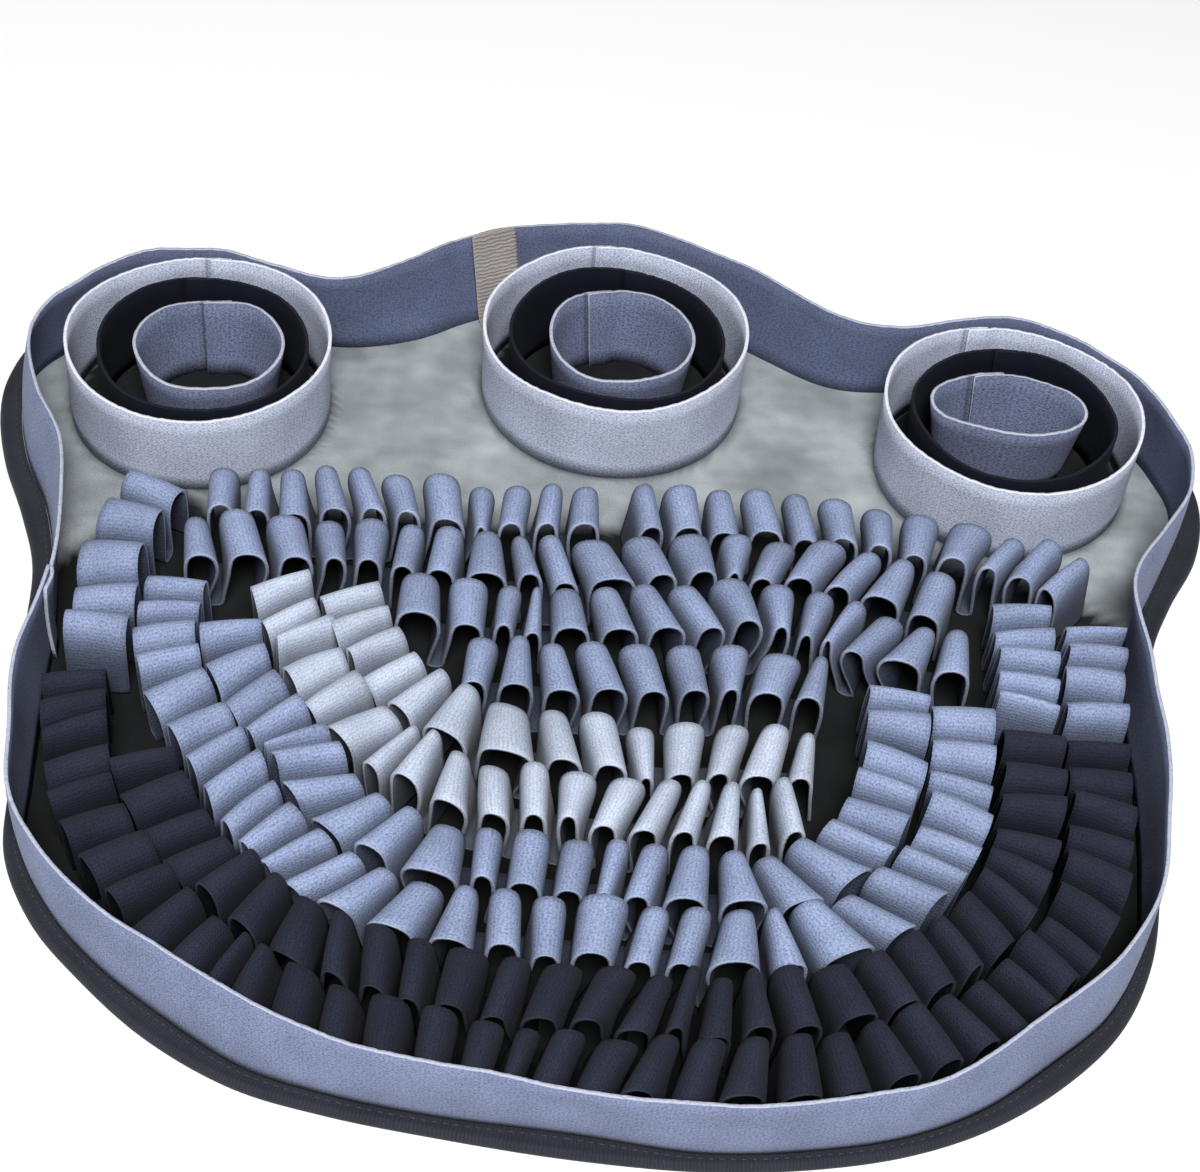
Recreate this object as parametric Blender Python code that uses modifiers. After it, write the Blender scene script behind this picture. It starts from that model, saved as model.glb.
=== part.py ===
"""Snuffle mat for a dog: a flat three-lobed cloth with an edge binding, a standing felt border, three treat
pots of nested felt rings, and rows of felt strip sewn down in standing loops.

Frame: metres, +Z up. The origin lies on the floor under the middle of the mat, +X to the right of someone
who stands at the straight front edge and looks along +Y towards the three lobes.
"""

import math
import random
from collections import namedtuple

import bmesh
import bpy
import numpy as np

MM = 0.001
WELD_DISTANCE = 0.01 * MM

# Driving sizes
MAT_WIDTH = 596 * MM  # across the two side lobes, over the binding
MAT_DEPTH = 537 * MM  # from the front edge to the middle lobe
AXIS_X = 3 * MM  # where x is 0 in the tables of bends, rings and rows
BASE_THICKNESS = 2.4 * MM
FELT_THICKNESS = 2.0 * MM  # loops
STRIP_THICKNESS = 3.0 * MM  # border and rings
SEAT_GAP = 0.3 * MM  # between sewn pieces
BORDER_HEIGHT = 44.5 * MM
LOOP_STRIP_WIDTH = 26.5 * MM
OUTLINE_STEPS = 78  # corners round the outline
RING_STEPS = 28
CURVE_STEPS = 12  # points of a smooth line between two of its bends
CURVE_REACH = 3 * MM  # distance to either side over which a line's direction is read

BASE_TOP = BASE_THICKNESS
SEAT = BASE_TOP + SEAT_GAP  # underside of whatever is sewn onto the base cloth

# Binding, folded over the edge of the base cloth: distances in from its outer edge, and heights
BINDING_FOLD = 2.4 * MM  # width of the fold that stands on the floor outside the base cloth
BINDING_TOP = 4.4 * MM
BINDING_RIDGE = 5.8 * MM  # top of the rolled outer edge
BINDING_RIDGE_AT = 1.4 * MM
BINDING_RIDGE_WIDTH = 3.4 * MM
BINDING_RIDGE_FOOT = 4.8 * MM  # height where the ridge meets the flat of the binding
BINDING_ROUND = 0.5 * MM  # how far in the outer edge turns under at the floor
BINDING_ROUND_TOP = 2.4 * MM
BORDER_REVEAL = 2.0 * MM  # strip of bare base cloth between the binding and the border
BORDER_LIFT = 0.1 * MM  # how much further than the seat gap its foot stands off the base cloth

# One row for each bend of the outline, for the right-hand half from the front to the back, in millimetres:
# x and y of the outer edge, how far in the border's foot stands, and how far the border's top leans
# outwards; then the same for the left-hand half, with its x turned over.
OutlineBend = namedtuple("OutlineBend", "x y margin lean left_x left_y left_margin left_lean")
OUTLINE = (
    OutlineBend(0, -267.5, 9, 9, 0, -267.5, 9, 9),
    OutlineBend(50, -268.5, 6, 7, 50, -262.8, 7, 6),
    OutlineBend(92, -264, 6, 6, 92, -257, 7, 3),
    OutlineBend(131, -254.5, 6, 4, 129, -248, 8, -3),
    OutlineBend(165, -239, 7, 0, 165, -229, 10, -1),
    OutlineBend(196, -216, 9, -1, 196, -203.5, 8, 0),
    OutlineBend(221, -188, 7, -1, 220, -178, 8, 2),
    OutlineBend(237, -153, 6, 0, 237, -146, 7, 3),
    OutlineBend(245, -112, 8, 4, 243, -108, 8, 6),
    OutlineBend(250, -66, 10, 4, 249, -68, 10, 6),
    OutlineBend(253, -20, 13, 2, 255, -22, 12, -1),
    OutlineBend(257, 24, 11, -5, 260, 20, 9, -7),
    OutlineBend(269, 57, 10, -3, 272, 54, 11, -9),
    OutlineBend(285, 90, 13, 2, 287, 88, 10, -8),
    OutlineBend(292, 122, 14, 0, 297, 122, 10, -6),
    OutlineBend(289, 150, 17, 0, 299, 150, 10, -8),
    OutlineBend(277, 175, 16, 0, 292, 178, 15, -5),
    OutlineBend(256, 200, 16, -1, 270, 202, 14, -2),
    OutlineBend(228, 219, 15, 0, 241, 219, 13, 1),
    OutlineBend(195, 228, 14, 0, 200, 226, 14, 0),
    OutlineBend(164, 222, 15, 0, 166, 218, 15, 0),
    OutlineBend(137, 212, 12, -3, 139, 212, 13, 0),
    OutlineBend(112, 214, 14, 4, 112, 223, 16, 10),
    OutlineBend(85, 231, 16, 9, 87, 243, 18, 13),
    OutlineBend(50, 253, 16, 9, 50, 261, 17, 12),
    OutlineBend(0, 268.5, 15, 10, 0, 268.5, 15, 10),
)

# The border strip's two ends meet at the left waist and overlap there.
BORDER_SEAM_AT = 0.7825  # share of the way round from the middle of the front
BORDER_OVERLAP = 16 * MM

# Rings, in millimetres: centre, half widths, height, how far the top flares, and the angle of the seam.
Ring = namedtuple("Ring", "name felt x y half_x half_y height flare seam_deg")
RINGS = (
    Ring("left_pot_outer_ring", "pale_felt", -203, 142.5, 64, 62.5, 44.5, 1.0, 84),
    Ring("left_pot_middle_ring", "black_felt", -201, 141.5, 51, 50, 41.5, 1.5, 96),
    Ring("left_pot_inner_ring", "denim_felt", -198, 142, 31, 30, 41, 6, 80),
    Ring("centre_pot_outer_ring", "pale_felt", -1, 178, 66, 64, 44.5, 1.0, 92),
    Ring("centre_pot_middle_ring", "black_felt", 0, 176.5, 53, 51, 41.5, 1.5, 76),
    Ring("centre_pot_inner_ring", "denim_felt", 2, 175.5, 32, 31, 41, 6, 100),
    Ring("right_pot_outer_ring", "pale_felt", 195, 142.5, 63, 62, 44.5, 1.0, 98),
    Ring("right_pot_middle_ring", "black_felt", 196, 141.5, 49.5, 48.5, 41.5, 1.5, 84),
    Ring("right_pot_inner_ring", "denim_felt", 194, 148.5, 33, 18, 41, 6, 92),
)
RING_LAP = 12 * MM
RING_LAP_GAP = 0.5 * MM

# Tab of webbing sewn to the inside of the border, left of the middle of the back
TAB_X = -67 * MM
TAB_WIDTH = 24 * MM
TAB_THICKNESS = 1.6 * MM
TAB_FOOT_LENGTH = 8 * MM
TAB_STAND_OFF = 1.5 * MM  # how far its foot stands off the border
TAB_GAP = 1.1 * MM  # to the border, whose felt is a little twisted there
TAB_STEPS = 2

# Rows of loops. Heights and leans in millimetres; a route holds the bends of the row's middle line.
LoopRow = namedtuple("LoopRow", "name felt loops height lean route")
LOOP_ROWS = (
    LoopRow("loops_blue_back_left", "blue_felt", 11, 37, 4, (
        (-186, 49), (-146, 54), (-100, 56), (-45, 54), (0, 59))),
    LoopRow("loops_blue_second", "blue_felt", 19, 38, 4, (
        (-192, 17), (-160, 20), (-105, 25), (-50, 23), (-5, 25), (30, 31), (65, 36),
        (105, 34), (140, 26), (163, 19))),
    LoopRow("loops_blue_third", "blue_felt", 15, 38, 4, (
        (-92, -8), (-45, -8), (-5, -6), (30, -2), (60, 3),
        (95, 2), (125, -7), (148, -12), (170, -14))),
    LoopRow("loops_blue_fourth", "blue_felt", 9, 38, 5, (
        (-62, -41), (-35, -42), (-5, -41), (40, -37), (75, -35), (104, -39))),
    LoopRow("loops_pale_inner", "white_felt", 14, 37, 5, (
        (-111.5, -4), (-105.7, -16.9), (-99.6, -30.8), (-91.5, -42.7), (-82, -55), (-68, -67), (-46, -77),
        (-18, -82), (25, -84), (65, -81), (100, -81))),
    LoopRow("loops_pale_outer", "white_felt", 18, 37, 5, (
        (-143, -1), (-137, -16), (-129, -31), (-121, -52), (-105.5, -71), (-87, -89.5), (-64, -104),
        (-34, -113), (20, -116), (50, -115.5), (76, -113.5), (92, -110.7))),
    LoopRow("loops_blue_inner_bow", "blue_felt", 25, 37, 5, (
        (-160, -28), (-155, -50), (-140, -73), (-124, -94), (-110, -115),
        (-92, -132), (-66, -144), (-30, -149), (20, -151), (60, -150.5),
        (84, -145), (103, -133.5), (118, -115), (126.5, -92), (131, -66), (131.5, -38))),
    LoopRow("loops_blue_outer_bow", "blue_felt", 31, 37, 5, (
        (-186, -4), (-189, -32), (-182, -60), (-166, -85), (-150, -109),
        (-136, -133), (-114, -153), (-88, -169), (-50, -179), (0, -180.5),
        (55, -181), (84, -175.5), (106, -166), (126, -152), (142, -133), (152.5, -110),
        (158, -84), (160.5, -62), (161, -44))),
    LoopRow("loops_dark_inner_bow", "charcoal_felt", 30, 37, 6, (
        (-183, -111), (-176, -126), (-160, -147), (-141, -167), (-114.4, -186.6), (-81.3, -200.8),
        (-40, -209), (0, -210), (50, -210), (88, -204.5), (116, -195), (141, -179.5),
        (161, -160), (175, -137), (183, -111), (188, -82), (190, -56))),
    LoopRow("loops_dark_outer_bow", "charcoal_felt", 38, 37, 7, (
        (-221, -64), (-215, -100), (-204, -132), (-185, -162), (-158, -189),
        (-124, -212), (-84, -229), (-40, -238), (0, -240), (50, -239.5),
        (92, -234), (126, -222.5), (157, -204), (183, -180), (203, -151),
        (212, -122), (217.5, -88), (219, -58))),
    LoopRow("loops_blue_left_side", "blue_felt", 5, 38, 0, (
        (-204, 59), (-213, 36), (-218, 6), (-217.5, -20), (-216, -57))),
    LoopRow("loops_blue_right_inner_side", "blue_felt", 5, 38, 0, (
        (188.5, -50), (191, -20), (191.5, 21))),
    LoopRow("loops_blue_right_outer_side", "blue_felt", 4, 38, 0, (
        (219.5, -52), (221, -25), (222, 8))),
    LoopRow("loops_blue_back_right", "blue_felt", 12, 37, 4, (
        (8, 60), (50, 67), (96, 66), (140, 59), (180, 52), (206, 44), (221, 32))),
)
LOOP_FOOT_SHARE = 0.19  # half of the strip sewn flat between two loops, as a share of a loop's length
LOOP_CLEARANCE = 1.9 * MM  # between the felt of neighbouring loops, at their widest
LOOP_SHOULDER = 0.66  # height of the widest place, as a share of the loop's height
LOOP_CROWN = 0.24  # half width of the flat crown, as a share of the loop's width
LOOP_UNEVEN = 0.20  # how much the loops' lengths differ
LOOP_SLANT = 0.16  # how far the crowns sway along the row, as a share of a loop's length
LOOP_TWIST = 0.9 * MM

# Base colours (linear RGB) and roughness
FELT_COLOURS = {
    "base_fleece": (0.29, 0.30, 0.27),
    "binding_tape": (0.045, 0.05, 0.06),
    "border_felt": (0.28, 0.34, 0.52),
    "pale_felt": (0.38, 0.44, 0.52),
    "black_felt": (0.02, 0.02, 0.03),
    "denim_felt": (0.13, 0.17, 0.30),
    "blue_felt": (0.27, 0.33, 0.52),
    "white_felt": (0.55, 0.60, 0.68),
    "charcoal_felt": (0.05, 0.055, 0.075),
    "webbing": (0.30, 0.29, 0.25),
}
FELT_ROUGHNESS = 0.95


def clear_scene():
    for obj in list(bpy.data.objects):
        bpy.data.objects.remove(obj, do_unlink=True)


def make_collection(name):
    collection = bpy.data.collections.new(name)
    bpy.context.scene.collection.children.link(collection)
    return collection


def make_material(name):
    material = bpy.data.materials.new(name)
    material.use_nodes = True
    shader = material.node_tree.nodes["Principled BSDF"]
    shader.inputs["Base Color"].default_value = (*FELT_COLOURS[name], 1)
    shader.inputs["Roughness"].default_value = FELT_ROUGHNESS
    shader.inputs["Metallic"].default_value = 0
    return material


def add_object(name, mesh, felt):
    obj = bpy.data.objects.new(name, mesh)
    mesh.materials.append(bpy.data.materials.get(felt) or make_material(felt))
    bpy.data.collections["snuffle_mat"].objects.link(obj)
    return obj


# Curves


def smooth_curve(bends, closed):
    """Points on a smooth curve through the bends, each bend a row of numbers of which x and y come first."""
    count = len(bends)
    if not closed:
        bends = np.vstack([2 * bends[0] - bends[1], bends, 2 * bends[-1] - bends[-2]])
    spans = range(count) if closed else range(1, count)
    points = []
    for i in spans:
        if closed:
            a, b, c, d = (bends[(i + k) % count] for k in (-1, 0, 1, 2))
        else:
            a, b, c, d = bends[i - 1 : i + 3]
        for t in np.arange(CURVE_STEPS) / CURVE_STEPS:
            second = 2 * a - 5 * b + 4 * c - d
            third = 3 * b - a - 3 * c + d
            points.append(b + ((c - a) * t + second * t**2 + third * t**3) / 2)
    points.append(bends[0] if closed else bends[-2])
    return np.array(points)


class Route:
    """A smooth line on the floor, read by the distance along it."""

    def __init__(self, bends, closed=False):
        self.closed = closed
        self.points = smooth_curve(bends, closed)
        steps = np.linalg.norm(np.diff(self.points[:, :2], axis=0), axis=1)
        self.distances = np.concatenate([[0], np.cumsum(steps)])
        self.length = self.distances[-1]

    def read(self, distance):
        """Every column of the line at these distances."""
        if self.closed:
            distance = np.mod(distance, self.length)
        return np.stack([np.interp(distance, self.distances, column) for column in self.points.T], axis=-1)

    def right_hand(self, distance):
        """Unit vectors that point to the right of the direction of travel."""
        ahead = self.read(distance + CURVE_REACH)[..., :2]
        behind = self.read(distance - CURVE_REACH)[..., :2]
        along = ahead - behind
        along = along / np.linalg.norm(along, axis=-1, keepdims=True)
        return np.stack([along[..., 1], -along[..., 0]], axis=-1)


def outline_route():
    """The outer edge, anticlockwise from the middle of the front, with margin and lean as further columns."""
    right = [(bend.x, bend.y, bend.margin, bend.lean) for bend in OUTLINE]
    left = [(-bend.left_x, bend.left_y, bend.left_margin, bend.left_lean) for bend in OUTLINE[-2:0:-1]]
    route = Route(np.array(right + left) * MM, closed=True)
    low = route.points[:, :2].min(axis=0)
    high = route.points[:, :2].max(axis=0)
    size = np.array([MAT_WIDTH, MAT_DEPTH])
    route.points[:, :2] = (route.points[:, :2] - (low + high) / 2) * size / (high - low)
    return route


# Meshes


def grid_mesh(rows):
    """A sheet of quads whose corners are the points of these rows."""
    across, along = len(rows) - 1, len(rows[0]) - 1
    bm = bmesh.new()
    bmesh.ops.create_grid(bm, x_segments=along, y_segments=across, size=1)
    for vert in bm.verts:
        i = round((vert.co.x + 1) / 2 * along)
        j = round((vert.co.y + 1) / 2 * across)
        vert.co = rows[j][i]
    return bm


def finish_mesh(bm, name, weld=False):
    if weld:
        bmesh.ops.remove_doubles(bm, verts=bm.verts, dist=WELD_DISTANCE)
    bmesh.ops.recalc_face_normals(bm, faces=bm.faces)
    mesh = bpy.data.meshes.new(name)
    bm.to_mesh(mesh)
    bm.free()
    return mesh


def add_sheet(name, rows, thickness, felt):
    """A strip of cloth: an open sheet through these rows of points, thickened to both sides."""
    obj = add_object(name, finish_mesh(grid_mesh(rows), name), felt)
    solid = obj.modifiers.new("Thickness", "SOLIDIFY")
    solid.thickness = thickness
    solid.offset = 0
    solid.use_even_offset = True
    return obj


def at_height(points, height):
    """Flat points raised to one height or to a height each."""
    return np.column_stack([points, np.broadcast_to(height, len(points))])


# Base cloth, binding and border


def add_base_cloth(edge):
    distances = np.linspace(0, edge.length, OUTLINE_STEPS, endpoint=False)
    inset = BINDING_FOLD + SEAT_GAP
    corners = edge.read(distances)[:, :2] - edge.right_hand(distances) * inset
    curve = bpy.data.curves.new("base_cloth", "CURVE")
    curve.dimensions = "2D"
    curve.fill_mode = "BOTH"
    curve.extrude = BASE_THICKNESS / 2
    spline = curve.splines.new("POLY")
    spline.points.add(len(corners) - 1)
    spline.use_cyclic_u = True
    for point, (x, y) in zip(spline.points, corners):
        point.co = (x, y, 0, 1)
    base = add_object("base_cloth", curve, "base_fleece")
    base.location.z = BASE_THICKNESS / 2


def add_edge_binding(edge):
    distances = np.linspace(0, edge.length, OUTLINE_STEPS + 1)
    read = edge.read(distances)
    outwards = edge.right_hand(distances)
    inner = read[:, 2] - BORDER_REVEAL
    section = (
        (BINDING_ROUND, 0),
        (0, BINDING_ROUND_TOP),
        (BINDING_RIDGE_AT, BINDING_RIDGE),
        (BINDING_RIDGE_WIDTH, BINDING_RIDGE_FOOT),
        (inner, BINDING_TOP),
        (inner, SEAT),
        (BINDING_FOLD, SEAT),
        (BINDING_FOLD, 0),
        (BINDING_ROUND, 0),
    )
    rows = []
    for inset, height in section:
        inset = np.broadcast_to(inset, len(read))
        rows.append(at_height(read[:, :2] - outwards * inset[:, None], height))
    mesh = finish_mesh(grid_mesh(rows), "edge_binding", weld=True)
    add_object("edge_binding", mesh, "binding_tape")


def border_line(edge, distances, height_share):
    """Middle of the border's thickness, at a share of its height."""
    read = edge.read(distances)
    inset = read[:, 2] + STRIP_THICKNESS / 2 - read[:, 3] * height_share
    return read[:, :2] - edge.right_hand(distances) * inset[:, None]


def border_distances(edge):
    start = BORDER_SEAM_AT * edge.length
    distances = np.linspace(start, start + edge.length, OUTLINE_STEPS + 1)
    return np.append(distances, distances[-1] + BORDER_OVERLAP)


def add_border(edge):
    distances = border_distances(edge)
    lap = np.zeros(len(distances))
    lap[-2:] = STRIP_THICKNESS + 2 * SEAT_GAP
    lean = np.abs(edge.read(distances)[:, 3]) / BORDER_HEIGHT
    lift = STRIP_THICKNESS / 2 * lean + BORDER_LIFT
    rows = []
    for share in (0, 1):
        line = border_line(edge, distances, share) - edge.right_hand(distances) * lap[:, None]
        rows.append(at_height(line, SEAT + lift + share * BORDER_HEIGHT))
    add_sheet("border_wall", rows, STRIP_THICKNESS, "border_felt")


def add_tab(edge):
    """Webbing down the flat inner side of the border nearest to its place, and a little way out."""
    distances = border_distances(edge)
    foot, top = (border_line(edge, distances, share) for share in (0, 1))
    middles = (foot[1:] + foot[:-1]) / 2
    side = np.where(middles[:, 1] > 0, np.abs(middles[:, 0] - AXIS_X - TAB_X), MAT_WIDTH).argmin()
    along = (foot[side + 1] - foot[side]) / np.linalg.norm(foot[side + 1] - foot[side])
    inwards = np.array([-along[1], along[0]])
    clear = (STRIP_THICKNESS + TAB_THICKNESS) / 2 + TAB_GAP
    floor = SEAT + TAB_THICKNESS / 2
    rows = []
    for half in (-TAB_WIDTH / 2, TAB_WIDTH / 2):
        low, high = ((line[side] + line[side + 1]) / 2 + along * half for line in (foot, top))
        start = low + inwards * (clear + TAB_STAND_OFF)
        course = [(*(start + inwards * TAB_FOOT_LENGTH), floor)]
        for step in range(TAB_STEPS + 1):
            share = step / TAB_STEPS
            place = start + (high + inwards * clear - start) * share
            course.append((*place, floor + share * (BORDER_HEIGHT - TAB_THICKNESS)))
        rows.append(course)
    add_sheet("back_tab", rows, TAB_THICKNESS, "webbing")


# Pots


def add_ring(ring):
    """An upright strip bent round until its end laps over its start."""
    lap_angle = RING_LAP / ((ring.half_x + ring.half_y) / 2 * MM - STRIP_THICKNESS / 2)
    angles = np.append(np.linspace(0, 2 * math.pi, RING_STEPS + 1), 2 * math.pi + lap_angle)
    step_out = np.zeros(len(angles))
    step_out[-2:] = -(STRIP_THICKNESS + RING_LAP_GAP)
    turned = angles + math.radians(ring.seam_deg)
    rows = []
    for share in (0, 1):
        grow = step_out + ring.flare * MM * share - STRIP_THICKNESS / 2
        x = AXIS_X + ring.x * MM + (ring.half_x * MM + grow) * np.cos(turned)
        y = ring.y * MM + (ring.half_y * MM + grow) * np.sin(turned)
        rows.append(np.column_stack([x, y, np.full(len(x), SEAT + share * ring.height * MM)]))
    add_sheet(ring.name, rows, STRIP_THICKNESS, ring.felt)


# Loops


def loop_bounds(row, length, rng):
    """Where each loop ends along the row, at the floor, and how far that place sways at the crown."""
    shares = np.array([1 + rng.uniform(-LOOP_UNEVEN, LOOP_UNEVEN) for _ in range(row.loops)])
    bounds = np.concatenate([[0], np.cumsum(shares)]) / shares.sum() * length
    pitch = length / row.loops
    phase = rng.uniform(0, 2 * math.pi)
    sway = np.sin(phase + np.arange(row.loops + 1) * rng.uniform(0.5, 0.9)) * LOOP_SLANT * pitch
    sway[0], sway[-1] = abs(sway[0]), -abs(sway[-1])
    return bounds, sway


def loop_edge(row, bounds, sway, heights):
    """The strip's course along one edge: distance along the row, height, and share of the height."""
    course = []
    clear = (FELT_THICKNESS + LOOP_CLEARANCE) / 2
    foot = LOOP_FOOT_SHARE * (bounds[-1] - bounds[0]) / row.loops
    crowns = bounds + sway
    for i in range(row.loops):
        left, right = crowns[i] + clear, crowns[i + 1] - clear
        middle, half = (left + right) / 2, (right - left) * LOOP_CROWN
        course += [
            (bounds[i] + foot, 0, 0),
            (left, LOOP_SHOULDER * heights[i], LOOP_SHOULDER),
            (middle - half, heights[i], 1),
            (middle + half, heights[i], 1),
            (right, LOOP_SHOULDER * heights[i], LOOP_SHOULDER),
            (bounds[i + 1] - foot, 0, 0),
        ]
    return np.array(course)


def add_loop_row(row, seed):
    """A strip of felt that runs along the row in standing loops, sewn flat to the base cloth between them."""
    rng = random.Random(seed)
    route = Route(np.array(row.route) * MM + (AXIS_X, 0))
    bounds, sway = loop_bounds(row, route.length, rng)
    heights = [row.height * MM * rng.uniform(0.9, 1.06) for _ in range(row.loops)]
    twist = np.array([rng.uniform(-LOOP_TWIST, LOOP_TWIST) for _ in range(row.loops + 1)])
    rows = []
    for side in (-1, 1):
        course = loop_edge(row, bounds, sway + side * twist, heights)
        distances, above, share = course.T
        outwards = route.right_hand(distances)
        lean = row.lean * MM * np.maximum(0, -outwards[:, 1]) * share
        offset = side * LOOP_STRIP_WIDTH / 2 + lean
        points = route.read(distances)[:, :2] + outwards * offset[:, None]
        rows.append(at_height(points, SEAT + FELT_THICKNESS / 2 + above))
    add_sheet(row.name, rows, FELT_THICKNESS, row.felt)


def main():
    clear_scene()
    make_collection("snuffle_mat")
    edge = outline_route()
    add_base_cloth(edge)
    add_edge_binding(edge)
    add_border(edge)
    add_tab(edge)
    for ring in RINGS:
        add_ring(ring)
    for seed, row in enumerate(LOOP_ROWS):
        add_loop_row(row, seed)


main()
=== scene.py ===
"""Snuffle mat: a lobed cloth with a dark binding, a standing felt border, treat pots of nested felt
rings and rows of felt strip sewn down in standing loops.

Frame: metres, +Z up. The origin lies on the floor under the middle of the mat, +X to the right of someone
who stands at the straight front edge and looks along +Y towards the lobes.
"""

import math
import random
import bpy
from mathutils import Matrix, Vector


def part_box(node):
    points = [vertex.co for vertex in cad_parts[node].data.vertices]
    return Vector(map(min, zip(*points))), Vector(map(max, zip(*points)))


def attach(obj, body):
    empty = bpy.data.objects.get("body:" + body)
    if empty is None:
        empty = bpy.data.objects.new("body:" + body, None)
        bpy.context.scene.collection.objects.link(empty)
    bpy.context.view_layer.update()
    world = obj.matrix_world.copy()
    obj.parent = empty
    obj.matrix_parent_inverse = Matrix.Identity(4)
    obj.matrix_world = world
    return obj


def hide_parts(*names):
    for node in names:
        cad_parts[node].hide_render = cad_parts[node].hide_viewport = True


bl_info = {
    "name": "Snuffle Mat",
    "version": (1, 0, 0),
    "blender": (4, 5, 0),
    "location": "3D View > Sidebar > Snuffle Mat",
    "description": "Builds the cloth pieces of a felt snuffle mat, their fabrics, and a plain studio",
    "category": "Add Mesh",
}

from collections import namedtuple

import bmesh
import bpy
import numpy as np
from bpy.props import FloatProperty, FloatVectorProperty, PointerProperty
from mathutils import Matrix, Vector

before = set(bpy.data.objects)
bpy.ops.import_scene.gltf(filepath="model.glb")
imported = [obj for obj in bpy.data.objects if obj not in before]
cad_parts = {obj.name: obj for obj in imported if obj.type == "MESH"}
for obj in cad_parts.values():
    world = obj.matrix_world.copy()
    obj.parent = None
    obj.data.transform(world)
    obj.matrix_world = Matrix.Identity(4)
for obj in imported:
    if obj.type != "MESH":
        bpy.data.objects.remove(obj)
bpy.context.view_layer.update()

MM = 0.001

# Sizes shared with the solids
MAT_WIDTH = 596 * MM
MAT_DEPTH = 537 * MM
AXIS_X = 3 * MM  # where x is 0 in the tables of bends, rings and rows
SEAT = 2.7 * MM  # underside of whatever is sewn onto the base cloth
BORDER_HEIGHT = 44.5 * MM
SOLID_STRIP_THICKNESS = 3.0 * MM
SOLID_LOOP_THICKNESS = 2.0 * MM
FOOT_SINK = 0.2 * MM  # how far the foot of a strip is pressed into the base cloth
CURVE_STEPS = 12  # points of a smooth line between two of its bends
CURVE_REACH = 3 * MM  # distance to either side over which a line's direction is read

# One row for each bend of the outline, for the right-hand half from the front to the back, in millimetres:
# x and y of the outer edge, how far in the border's foot stands, and how far the border's top leans
# outwards; then the same for the left-hand half, with its x turned over.
OutlineBend = namedtuple("OutlineBend", "x y margin lean left_x left_y left_margin left_lean")
OUTLINE = (
    OutlineBend(0, -267.5, 9, 9, 0, -267.5, 9, 9),
    OutlineBend(50, -268.5, 6, 7, 50, -262.8, 7, 6),
    OutlineBend(92, -264, 6, 6, 92, -257, 7, 3),
    OutlineBend(131, -254.5, 6, 4, 129, -248, 8, -3),
    OutlineBend(165, -239, 7, 0, 165, -229, 10, -1),
    OutlineBend(196, -216, 9, -1, 196, -203.5, 8, 0),
    OutlineBend(221, -188, 7, -1, 220, -178, 8, 2),
    OutlineBend(237, -153, 6, 0, 237, -146, 7, 3),
    OutlineBend(245, -112, 8, 4, 243, -108, 8, 6),
    OutlineBend(250, -66, 10, 4, 249, -68, 10, 6),
    OutlineBend(253, -20, 13, 2, 255, -22, 12, -1),
    OutlineBend(257, 24, 11, -5, 260, 20, 9, -7),
    OutlineBend(269, 57, 10, -3, 272, 54, 11, -9),
    OutlineBend(285, 90, 13, 2, 287, 88, 10, -8),
    OutlineBend(292, 122, 14, 0, 297, 122, 10, -6),
    OutlineBend(289, 150, 17, 0, 299, 150, 10, -8),
    OutlineBend(277, 175, 16, 0, 292, 178, 15, -5),
    OutlineBend(256, 200, 16, -1, 270, 202, 14, -2),
    OutlineBend(228, 219, 15, 0, 241, 219, 13, 1),
    OutlineBend(195, 228, 14, 0, 200, 226, 14, 0),
    OutlineBend(164, 222, 15, 0, 166, 218, 15, 0),
    OutlineBend(137, 212, 12, -3, 139, 212, 13, 0),
    OutlineBend(112, 214, 14, 4, 112, 223, 16, 10),
    OutlineBend(85, 231, 16, 9, 87, 243, 18, 13),
    OutlineBend(50, 253, 16, 9, 50, 261, 17, 12),
    OutlineBend(0, 268.5, 15, 10, 0, 268.5, 15, 10),
)
BORDER_SEAM_AT = 0.7825  # share of the way round from the middle of the front
BORDER_OVERLAP = 16 * MM
BORDER_STEP = 2.2 * MM  # between two columns of the border's mesh
BORDER_LINES = 7

# Rings, in millimetres: centre, half widths, height, how far the top flares, and the angle of the seam.
Ring = namedtuple("Ring", "name felt x y half_x half_y height flare seam_deg")
RINGS = (
    Ring("left_pot_outer_ring", "pale_felt", -203, 142.5, 64, 62.5, 44.5, 1.0, 84),
    Ring("left_pot_middle_ring", "black_felt", -201, 141.5, 51, 50, 41.5, 1.5, 96),
    Ring("left_pot_inner_ring", "denim_felt", -198, 142, 31, 30, 41, 6, 80),
    Ring("centre_pot_outer_ring", "pale_felt", -1, 178, 66, 64, 44.5, 1.0, 92),
    Ring("centre_pot_middle_ring", "black_felt", 0, 176.5, 53, 51, 41.5, 1.5, 76),
    Ring("centre_pot_inner_ring", "denim_felt", 2, 175.5, 32, 31, 41, 6, 100),
    Ring("right_pot_outer_ring", "pale_felt", 195, 142.5, 63, 62, 44.5, 1.0, 98),
    Ring("right_pot_middle_ring", "black_felt", 196, 141.5, 49.5, 48.5, 41.5, 1.5, 84),
    Ring("right_pot_inner_ring", "denim_felt", 194, 148.5, 33, 18, 41, 6, 92),
)
RING_LAP = 12 * MM
RING_STEP = 2 * MM  # between two columns of a ring's mesh
RING_LINES = 6
FIRST_RING_SEED = 100  # the loop rows have the seeds from 0 on

TAB_WIDTH = 24 * MM
TAB_THICKNESS = 1.4 * MM

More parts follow.
